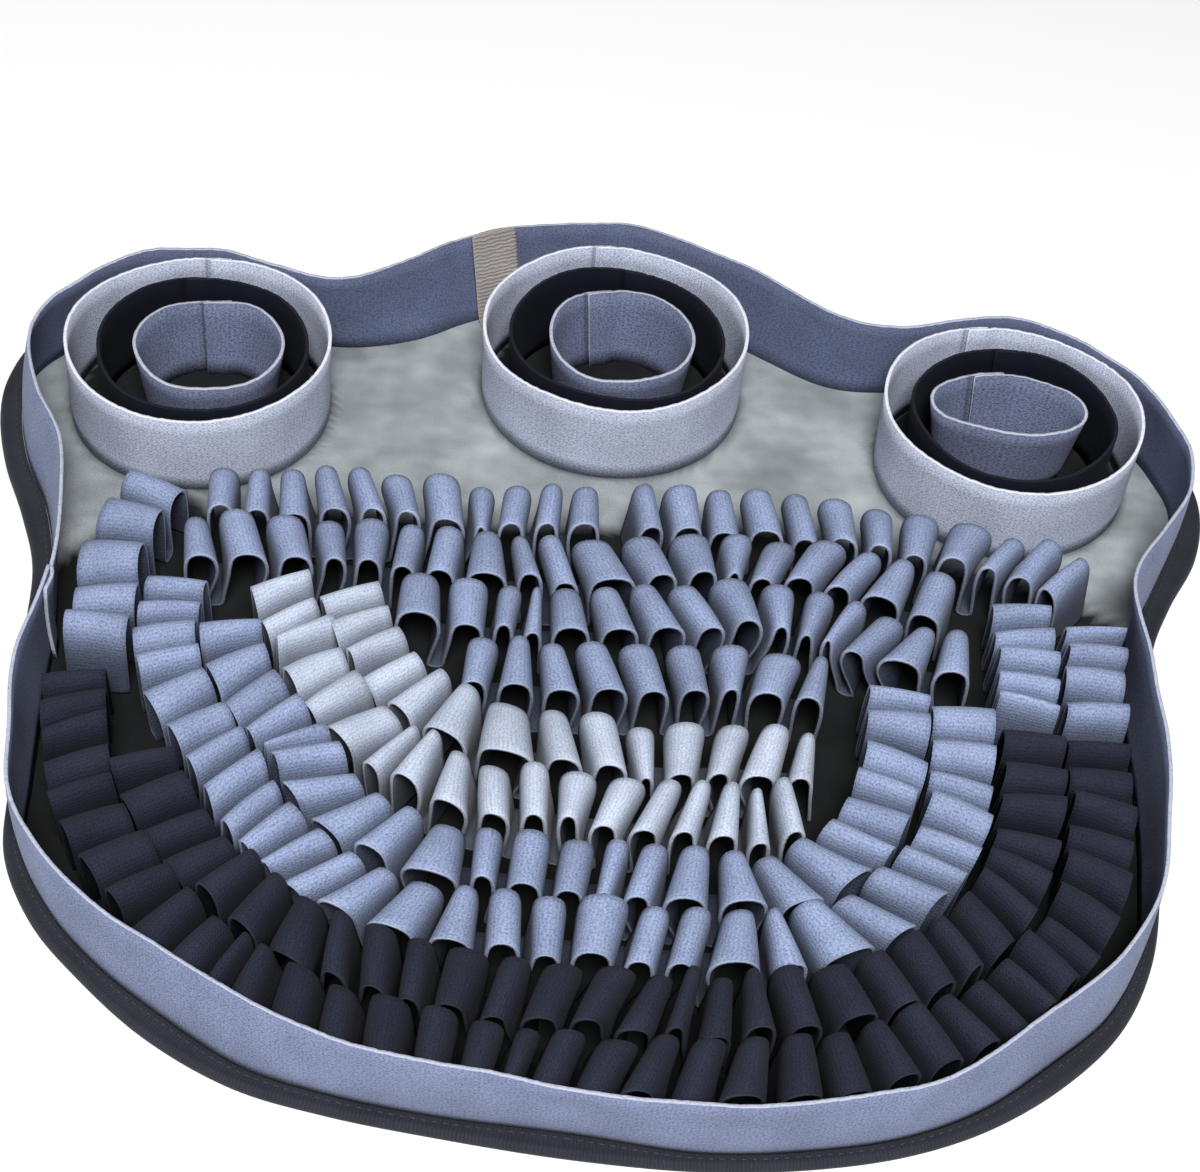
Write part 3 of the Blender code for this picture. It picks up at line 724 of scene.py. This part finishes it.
def add_edge_binding(settings):
    edge = outline_route()
    columns = np.linspace(0, edge.length, BINDING_COLUMNS)
    read = edge.read(columns)
    outwards = edge.right_hand(columns)
    inner = (read[:, 2] - BINDING_END) / MM
    rng = random.Random(41)
    lift = wave(rng, columns, (edge.length / 11, edge.length / 23, edge.length / 47)) * 0.25
    section = [(np.full(len(columns), inset), height) for inset, height in BINDING_SECTION]
    section += [((BINDING_SECTION[-1][0] + inner) / 2, 4.5), (inner - 0.5, 4.4)]
    section += [(inner, 4.0), (inner, 3.0), (inner - 1, 2.5)]
    rows, places, run = [], [], 0.0
    last = None
    for inset, height in section:
        flat = read[:, :2] - outwards * (inset * MM)[:, None]
        share = min(1.0, height / 4)
        rows.append(np.column_stack([flat, (height + lift * share) * MM * np.ones(len(columns))]))
        run += 0.0 if last is None else float(np.linalg.norm(rows[-1][0] - last))
        last = rows[-1][0]
        places.append(np.column_stack([columns, np.full(len(columns), run)]))
    bm = cloth_mesh(rows, places, np.ones(len(columns)), closed=True)
    piece = finish_piece(bm, "tape", fabric("binding_tape", settings))
    stand_for_solid(piece, "edge_binding")
    ends = []
    for shift in (0, STITCH_LENGTH):
        spots = np.arange(0, edge.length, STITCH_PITCH) + shift
        at = edge.read(spots)
        flat = at[:, :2] - edge.right_hand(spots) * (at[:, 2] - STITCH_MARGIN)[:, None]
        ends.append(np.column_stack([flat, np.full(len(flat), STITCH_HEIGHT)]))
    stitches = add_stitches("binding_stitches", *ends, STITCH_RADIUS, thread_material(settings))


def add_border(settings):
    edge = outline_route()
    start = BORDER_SEAM_AT * edge.length
    columns = np.arange(start, start + edge.length + BORDER_OVERLAP, BORDER_STEP)
    read = edge.read(columns)
    outwards = edge.right_hand(columns)
    rng = random.Random(17)
    sway = wave(rng, columns, (0.31, 0.127, 0.071)) * settings.border_wave
    rise = wave(rng, columns, (0.23, 0.083, 0.037)) * 0.8 * MM
    nick = np.array([rng.uniform(-0.2, 0.2) for _ in columns]) * MM
    behind = np.clip((columns - columns[-1] + BORDER_OVERLAP) / (6 * MM), 0, 1)
    lap = behind * (settings.ring_thickness + 0.5 * MM)
    rows, places = [], []
    for share in np.linspace(0, 1, BORDER_LINES):
        belly = math.sin(share * math.pi) * MM
        outward = read[:, 3] * share + sway * share**1.5 + belly - lap
        inset = read[:, 2] + SOLID_STRIP_THICKNESS / 2 - outward
        height = SEAT - FOOT_SINK + share * (BORDER_HEIGHT + rise) + (nick if share == 1 else 0)
        rows.append(np.column_stack([read[:, :2] - outwards * inset[:, None], height]))
        places.append(np.column_stack([columns, np.full(len(columns), share * BORDER_HEIGHT)]))
    bm = cloth_mesh(rows, places, np.ones(len(columns)))
    materials = fabric("border_felt", settings) + fabric("border_lining", settings)
    piece = finish_piece(bm, "wall", materials, normals=False)
    thicken(piece, settings.ring_thickness, back=2)
    stand_for_solid(piece, "border_wall")


def add_back_tab(settings):
    low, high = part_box("back_tab")
    edge = outline_route()
    distances = np.linspace(0.4, 0.6, 401) * edge.length
    near = distances[np.abs(edge.read(distances)[:, 0] - (low.x + high.x) / 2).argmin()]
    outwards = edge.right_hand(np.array([near]))[0]
    along = np.array([-outwards[1], outwards[0]])
    read = edge.read(np.array([near]))[0]
    foot = read[:2] - outwards * (read[2] + SOLID_STRIP_THICKNESS + 1.6 * MM)
    top = foot + outwards * (read[3] + 0.4 * MM)
    course = [(foot - outwards * 8 * MM, SEAT + 0.8 * MM), (foot - outwards * 3 * MM, SEAT + 0.8 * MM)]
    course += [(foot - outwards * 0.8 * MM, SEAT + 1.6 * MM), (foot, SEAT + 4 * MM)]
    for share in np.linspace(0.2, 1, 9):
        bow = math.sin(share * math.pi) * 0.8 * MM
        flat = foot + (top - foot) * share - outwards * bow
        course.append((flat, SEAT + share * (BORDER_HEIGHT + 2.4 * MM)))
    points = np.array([(*flat, height) for flat, height in course])
    run = np.concatenate([[0], np.cumsum(np.linalg.norm(np.diff(points, axis=0), axis=1))])
    rows, places = [], []
    for side in np.linspace(-0.5, 0.5, 5):
        shift = np.append(along * side * TAB_WIDTH, 0)
        rows.append(points + shift)
        places.append(np.column_stack([run, np.full(len(run), side * TAB_WIDTH)]))
    bm = cloth_mesh(rows, places, np.ones(len(points)))
    piece = finish_piece(bm, "tab", fabric("webbing", settings))
    thicken(piece, TAB_THICKNESS, smooth=2)
    stand_for_solid(piece, "back_tab")


# Pots


def lobed_wave(rng, angles, lobe_counts, low, high, falloff):
    """An uneven wave round a ring: one sine for each of these numbers of lobes."""
    total = 0
    for lobes in lobe_counts:
        size = rng.uniform(low, high)
        total = total + size * np.sin(lobes * angles + rng.uniform(0, math.tau)) / lobes**falloff
    return total


def add_ring(ring, settings, seed):
    """An upright strip bent round until its end laps over its start."""
    rng = random.Random(seed)
    radius = (ring.half_x + ring.half_y) / 2 * MM - SOLID_STRIP_THICKNESS / 2
    run = np.arange(0, math.tau * radius + RING_LAP, RING_STEP)
    angles = run / radius
    turned = angles + math.radians(ring.seam_deg)
    wobble = lobed_wave(rng, angles, (2, 3, 4), 0.5, 1, 1)
    rise = lobed_wave(rng, angles, (2, 3, 5), 0.3, 0.8, 0)
    nick = np.array([rng.uniform(-0.22, 0.22) for _ in run])
    behind = np.clip((run - run[-1] + RING_LAP + 4 * MM) / (8 * MM), 0, 1)
    lap = behind * behind * (3 - 2 * behind) * (settings.ring_thickness + 1.1 * MM)
    # painted shadow: a dark line on the strip's start, where the end of the lap lies over it and shades it
    lap_shadow = 1 - 0.5 * np.clip(1 - np.abs(run - RING_LAP) / (2 * MM), 0, 1)
    rows, places, tones = [], [], []
    for share in np.linspace(0, 1, RING_LINES):
        # painted shade: the ring is darker towards its top edge, to even out the light that falls more on
        # the top; its foot row is darker too
        tones.append(lap_shadow * (1.06 - 0.12 * share if share else 0.75))
        grow = (ring.flare * share + 1.5 * wobble * share**1.3) * MM - lap - SOLID_STRIP_THICKNESS / 2
        x = AXIS_X + ring.x * MM + (ring.half_x * MM + grow) * np.cos(turned)
        y = ring.y * MM + (ring.half_y * MM + grow) * np.sin(turned)
        height = ring.height * share + (0.9 * rise + behind * 1.4) * share + (nick if share == 1 else 0)
        rows.append(np.column_stack([x, y, SEAT - FOOT_SINK + height * MM]))
        places.append(np.column_stack([run, np.full(len(run), share * ring.height * MM)]))
    bm = cloth_mesh(rows, places, np.array(tones))
    piece = finish_piece(bm, "ring", fabric(ring.felt, settings), normals=False)
    thicken(piece, settings.ring_thickness)
    stand_for_solid(piece, ring.name)


# Loops


def loop_bounds(row, whole, rng):
    """Where each loop ends along the row, at the floor, and how far that place sways at the crown."""
    shares = np.array([1 + rng.uniform(-LOOP_UNEVEN, LOOP_UNEVEN) for _ in range(row.loops)])
    bounds = np.concatenate([[0], np.cumsum(shares)]) / shares.sum() * whole
    pitch = whole / row.loops
    phase = rng.uniform(0, math.tau)
    sway = np.sin(phase + np.arange(row.loops + 1) * rng.uniform(0.5, 0.9)) * LOOP_SLANT * pitch
    sway[0], sway[-1] = abs(sway[0]), -abs(sway[-1])
    return bounds, sway


def loop_course(bounds, crowns, heights, foot):
    """The strip's course along one line: distance along the row, height, and share of the full height."""
    course = []
    clear = (SOLID_LOOP_THICKNESS + LOOP_CLEARANCE) / 2
    for i, height in enumerate(heights):
        left, right = crowns[i] + clear, crowns[i + 1] - clear
        start, end = bounds[i] + foot, bounds[i + 1] - foot
        middle, half = (left + right) / 2, (right - left) / 2
        for out, up in LOOP_SIDE:
            share = up * LOOP_SHOULDER
            course.append((start + (left - start) * out, share * height, share))
        for degrees in LOOP_ARC_DEG:
            turn = math.radians(degrees)
            out = math.copysign(abs(math.cos(turn)) ** LOOP_SQUARE, math.cos(turn))
            share = LOOP_SHOULDER + (1 - LOOP_SHOULDER) * math.sin(turn) ** LOOP_SQUARE
            course.append((middle - half * out, share * height, share))
        for out, up in reversed(LOOP_SIDE):
            share = up * LOOP_SHOULDER
            course.append((end + (right - end) * out, share * height, share))
    return np.array(course)


def add_loop_row(row, settings, seed):
    """A strip of felt in standing loops along the row, sewn flat to the base cloth between them."""
    rng = random.Random(seed)
    route = Route(np.array(row.route) * MM + (AXIS_X, 0))
    bounds, sway = loop_bounds(row, route.length, rng)
    loops = np.arange(row.loops)
    joints = np.arange(row.loops + 1)
    heights = np.array([row.height * MM * rng.uniform(0.9, 1.06) for _ in loops])
    twist = np.array([rng.uniform(-LOOP_TWIST, LOOP_TWIST) for _ in joints])
    turn = rng.uniform(0, math.tau) + joints * rng.uniform(0.45, 0.8)
    ends = np.minimum(1, np.minimum(joints, joints[::-1]) / 2)
    twist += (np.sin(turn) + 0.7 * np.sin(turn * 0.37)) * settings.loop_skew * ends
    sway = sway + np.array([rng.uniform(-1, 1) for _ in joints]) * settings.loop_sway * ends
    tilt = np.array([rng.uniform(-0.05, 0.05) for _ in loops])
    shift = np.array([rng.uniform(-1, 1) for _ in loops]) * settings.loop_shift
    tone = np.array([rng.uniform(0.9, 1.08) for _ in loops])
    foot = LOOP_FOOT_SHARE * route.length / row.loops
    per_loop = 2 * len(LOOP_SIDE) + len(LOOP_ARC_DEG)
    shift, tones = np.repeat(shift, per_loop), np.repeat(tone, per_loop)
    rows, runs, lit = [], [], []
    sides = np.linspace(1, -1, LOOP_LINES)
    for side in sides:
        course = loop_course(bounds, bounds + sway + side * twist, heights * (1 + side * tilt), foot)
        distances, above, share = course.T
        outwards = route.right_hand(distances)
        lean = row.lean * MM * np.maximum(0, -outwards[:, 1]) * share + shift * share**2
        offset = side * settings.strip_width / 2 + lean
        points = route.read(distances)[:, :2] + outwards * offset[:, None]
        curl = 0.9 * MM * side**2 * share
        height = SEAT - FOOT_SINK + settings.felt_thickness / 2 + above - curl
        rows.append(np.column_stack([points, height]))
        # painted shade: each loop darkens towards its foot, over its own random tone
        lit.append(tones * (FOOT_SHADE_TONE + (1 - FOOT_SHADE_TONE) * share**3))
        runs.append(np.concatenate([[0], np.cumsum(np.linalg.norm(np.diff(rows[-1], axis=0), axis=1))]))
    run = runs[len(runs) // 2]
    places = [np.column_stack([run, np.full(len(run), side * settings.strip_width / 2)]) for side in sides]
    bm = cloth_mesh(rows, places, np.array(lit))
    piece = finish_piece(bm, "strip", fabric(row.felt, settings, inside=True), normals=False)
    thicken(piece, settings.felt_thickness, back=2, smooth=1)
    stand_for_solid(piece, row.name)


# Stage


def add_light(name, energy, place):
    """A round soft light that shines at the mat."""
    light = bpy.data.lights.new(name, "AREA")
    light.energy = energy
    light.shape = "DISK"
    light.size = LIGHT_SIZE
    lamp = bpy.data.objects.new(name, light)
    bpy.context.scene.collection.objects.link(lamp)
    lamp.location = place
    lamp.rotation_euler = (-Vector(place)).to_track_quat("-Z", "Y").to_euler()


def add_camera():
    """The photo's view: from the front, halfway up, with the camera turned a little to one side."""
    angles = (CAMERA_AZIMUTH_DEG, CAMERA_ELEVATION_DEG, CAMERA_ROLL_DEG)
    azimuth, elevation, roll = (math.radians(angle) for angle in angles)
    back = Vector((
        math.sin(azimuth) * math.cos(elevation),
        -math.cos(azimuth) * math.cos(elevation),
        math.sin(elevation),
    ))
    right = (-back).cross(Vector((0, 0, 1))).normalized()
    up = right.cross(-back)
    turned_right = right * math.cos(roll) + up * math.sin(roll)
    turned_up = up * math.cos(roll) - right * math.sin(roll)
    data = bpy.data.cameras.new("camera")
    data.sensor_fit = "HORIZONTAL"
    data.sensor_width = CAMERA_SENSOR
    data.lens = CAMERA_LENS
    camera = bpy.data.objects.new("camera", data)
    bpy.context.scene.collection.objects.link(camera)
    pose = Matrix((turned_right, turned_up, back)).transposed().to_4x4()
    pose.translation = Vector(CAMERA_TARGET) * MM + back * CAMERA_DISTANCE
    camera.matrix_world = pose
    bpy.context.scene.camera = camera


def add_stage(settings):
    bm = bmesh.new()
    bmesh.ops.create_grid(bm, x_segments=2, y_segments=2, size=4)
    mesh = bpy.data.meshes.new("floor")
    bm.to_mesh(mesh)
    bm.free()
    floor = bpy.data.objects.new("floor", mesh)
    bpy.context.scene.collection.objects.link(floor)
    material = bpy.data.materials.new("studio_floor")
    material.use_nodes = True
    shader = material.node_tree.nodes["Principled BSDF"]
    shader.inputs["Base Color"].default_value = (*settings.floor, 1)
    shader.inputs["Roughness"].default_value = 0.8
    mesh.materials.append(material)
    world = bpy.data.worlds.new("studio")
    world.use_nodes = True
    sky = world.node_tree.nodes["Background"]
    sky.inputs["Color"].default_value = (1, 1, 1, 1)
    sky.inputs["Strength"].default_value = settings.sky_strength
    bpy.context.scene.world = world
    add_light("key_light", settings.key_power, KEY_LIGHT_PLACE)
    add_light("fill_light", settings.fill_power, FILL_LIGHT_PLACE)
    bpy.context.scene.view_settings.view_transform = "Standard"
    add_camera()


# Operators


class SnuffleOperator:
    bl_options = {"REGISTER", "UNDO"}

    def execute(self, context):
        self.build(context.scene.snuffle_mat)
        return {"FINISHED"}


class SNUFFLE_OT_base_cloth(SnuffleOperator, bpy.types.Operator):
    """Lay the napped base cloth"""

    bl_idname = "snuffle.base_cloth"
    bl_label = "Base Cloth"

    def build(self, settings):
        add_base_cloth(settings)


class SNUFFLE_OT_edge_binding(SnuffleOperator, bpy.types.Operator):
    """Fold the dark tape over the edge of the base cloth and stitch it down"""

    bl_idname = "snuffle.edge_binding"
    bl_label = "Edge Binding"

    def build(self, settings):
        add_edge_binding(settings)


class SNUFFLE_OT_border(SnuffleOperator, bpy.types.Operator):
    """Stand the felt border up round the mat"""

    bl_idname = "snuffle.border"
    bl_label = "Border"

    def build(self, settings):
        add_border(settings)


class SNUFFLE_OT_back_tab(SnuffleOperator, bpy.types.Operator):
    """Sew the webbing tab to the inside of the border"""

    bl_idname = "snuffle.back_tab"
    bl_label = "Back Tab"

    def build(self, settings):
        add_back_tab(settings)


class SNUFFLE_OT_rings(SnuffleOperator, bpy.types.Operator):
    """Bend the felt rings of the treat pots"""

    bl_idname = "snuffle.rings"
    bl_label = "Treat Pots"

    def build(self, settings):
        for seed, ring in enumerate(RINGS, FIRST_RING_SEED):
            add_ring(ring, settings, seed)


class SNUFFLE_OT_loop_rows(SnuffleOperator, bpy.types.Operator):
    """Sew down the rows of standing felt loops"""

    bl_idname = "snuffle.loop_rows"
    bl_label = "Loop Rows"

    def build(self, settings):
        for seed, row in enumerate(LOOP_ROWS):
            add_loop_row(row, settings, seed)


class SNUFFLE_OT_stage(SnuffleOperator, bpy.types.Operator):
    """Add the floor, the lights and the camera"""

    bl_idname = "snuffle.stage"
    bl_label = "Studio"

    def build(self, settings):
        add_stage(settings)


class SNUFFLE_PT_panel(bpy.types.Panel):
    """The mat's pieces, in the order in which they are made"""

    bl_idname = "SNUFFLE_PT_panel"
    bl_label = "Snuffle Mat"
    bl_space_type = "VIEW_3D"
    bl_region_type = "UI"
    bl_category = "Snuffle Mat"

    def draw(self, context):
        for operator in OPERATORS:
            self.layout.operator(operator.bl_idname)
        for name in SnuffleMatSettings.__annotations__:
            self.layout.prop(context.scene.snuffle_mat, name)


OPERATORS = (
    SNUFFLE_OT_stage,
    SNUFFLE_OT_base_cloth,
    SNUFFLE_OT_edge_binding,
    SNUFFLE_OT_border,
    SNUFFLE_OT_back_tab,
    SNUFFLE_OT_rings,
    SNUFFLE_OT_loop_rows,
)
CLASSES = (SnuffleMatSettings, *OPERATORS, SNUFFLE_PT_panel)


def register():
    for cls in CLASSES:
        bpy.utils.register_class(cls)
    bpy.types.Scene.snuffle_mat = PointerProperty(type=SnuffleMatSettings)


def unregister():
    del bpy.types.Scene.snuffle_mat
    for cls in reversed(CLASSES):
        bpy.utils.unregister_class(cls)


def main():
    register()
    bpy.ops.snuffle.stage()
    bpy.ops.snuffle.base_cloth()
    bpy.ops.snuffle.edge_binding()
    bpy.ops.snuffle.border()
    bpy.ops.snuffle.back_tab()
    bpy.ops.snuffle.rings()
    bpy.ops.snuffle.loop_rows()


if __name__ == "__main__":
    main()
